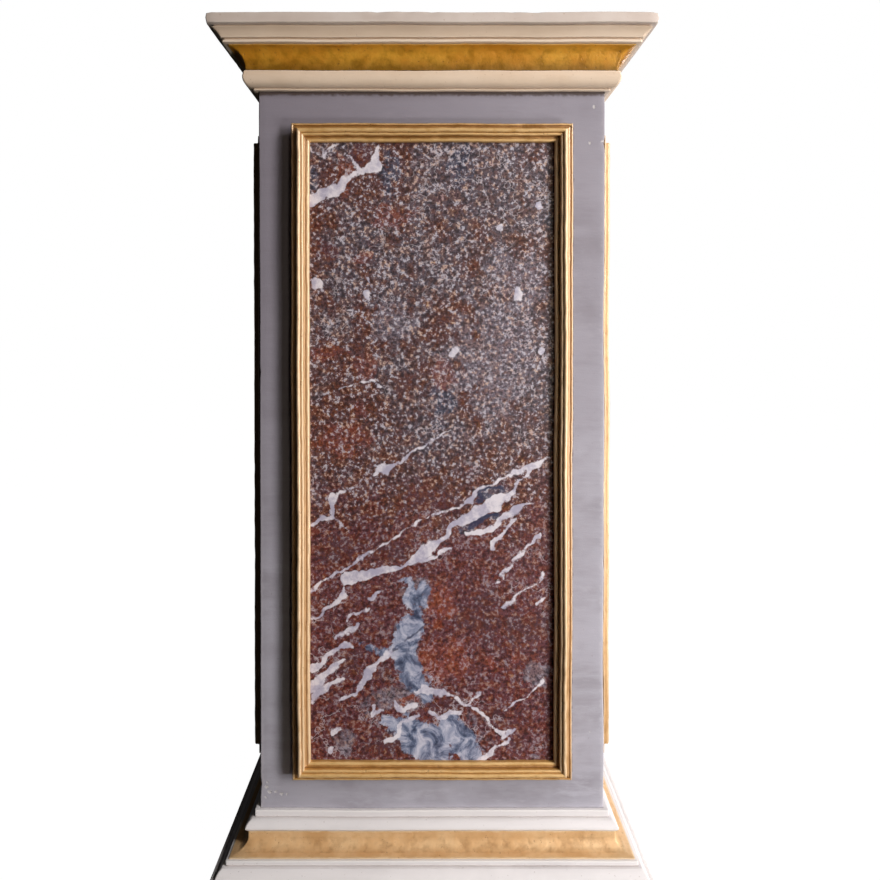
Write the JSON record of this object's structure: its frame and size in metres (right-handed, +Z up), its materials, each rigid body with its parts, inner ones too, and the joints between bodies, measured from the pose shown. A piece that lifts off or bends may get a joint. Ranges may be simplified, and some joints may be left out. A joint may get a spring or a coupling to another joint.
{
  "type": "square pedestal column",
  "caption": "Free-standing square column with moulded base and cornice and a marble slab in a gilt frame on each side; its flat top carries a bust or vase.",
  "frame": {"origin": "centre of the underside, on the surface that the column stands on", "axes": "+Z up; the front looks along -Y, the right side along +X, seen from the front"},
  "size_m": [0.5346, 0.5346, 1.0658],
  "materials": {
    "grey_paint": "matt grey-lilac paint on wood, brushed, chipped at the arrises",
    "cream_paint": "warm cream paint on wood, worn, tan glaze left in the grooves",
    "white_paint": "cool white paint on wood, brushed, dusty in the grooves",
    "gilding": "old gold leaf on carved wood, satin, rubbed, with brown in the pits",
    "red_marble": "polished red and grey mottled marble with white veins"
  },
  "bodies": {
    "root": {"plinth_board": "white_paint", "front_shaft_board": "grey_paint", "front_marble_slab": "red_marble", "front_frame_top_rail": "gilding", "front_frame_bottom_rail": "gilding", "front_frame_left_stile": "gilding", "front_frame_right_stile": "gilding", "front_base_lower_moulding": "white_paint", "front_base_gilt_cove": "gilding", "front_base_upper_moulding": "white_paint", "front_cornice_lower_moulding": "cream_paint", "front_cornice_gilt_cove": "gilding", "front_cornice_upper_moulding": "cream_paint", "right_shaft_board": "grey_paint", "right_marble_slab": "red_marble", "right_frame_top_rail": "gilding", "right_frame_bottom_rail": "gilding", "right_frame_left_stile": "gilding", "right_frame_right_stile": "gilding", "right_base_lower_moulding": "white_paint", "right_base_gilt_cove": "gilding", "right_base_upper_moulding": "white_paint", "right_cornice_lower_moulding": "cream_paint", "right_cornice_gilt_cove": "gilding", "right_cornice_upper_moulding": "cream_paint", "back_shaft_board": "grey_paint", "back_marble_slab": "red_marble", "back_frame_top_rail": "gilding", "back_frame_bottom_rail": "gilding", "back_frame_left_stile": "gilding", "back_frame_right_stile": "gilding", "back_base_lower_moulding": "white_paint", "back_base_gilt_cove": "gilding", "back_base_upper_moulding": "white_paint", "back_cornice_lower_moulding": "cream_paint", "back_cornice_gilt_cove": "gilding", "back_cornice_upper_moulding": "cream_paint", "left_shaft_board": "grey_paint", "left_marble_slab": "red_marble", "left_frame_top_rail": "gilding", "left_frame_bottom_rail": "gilding", "left_frame_left_stile": "gilding", "left_frame_right_stile": "gilding", "left_base_lower_moulding": "white_paint", "left_base_gilt_cove": "gilding", "left_base_upper_moulding": "white_paint", "left_cornice_lower_moulding": "cream_paint", "left_cornice_gilt_cove": "gilding", "left_cornice_upper_moulding": "cream_paint", "top_board": "cream_paint"}
  },
  "joints": []
}
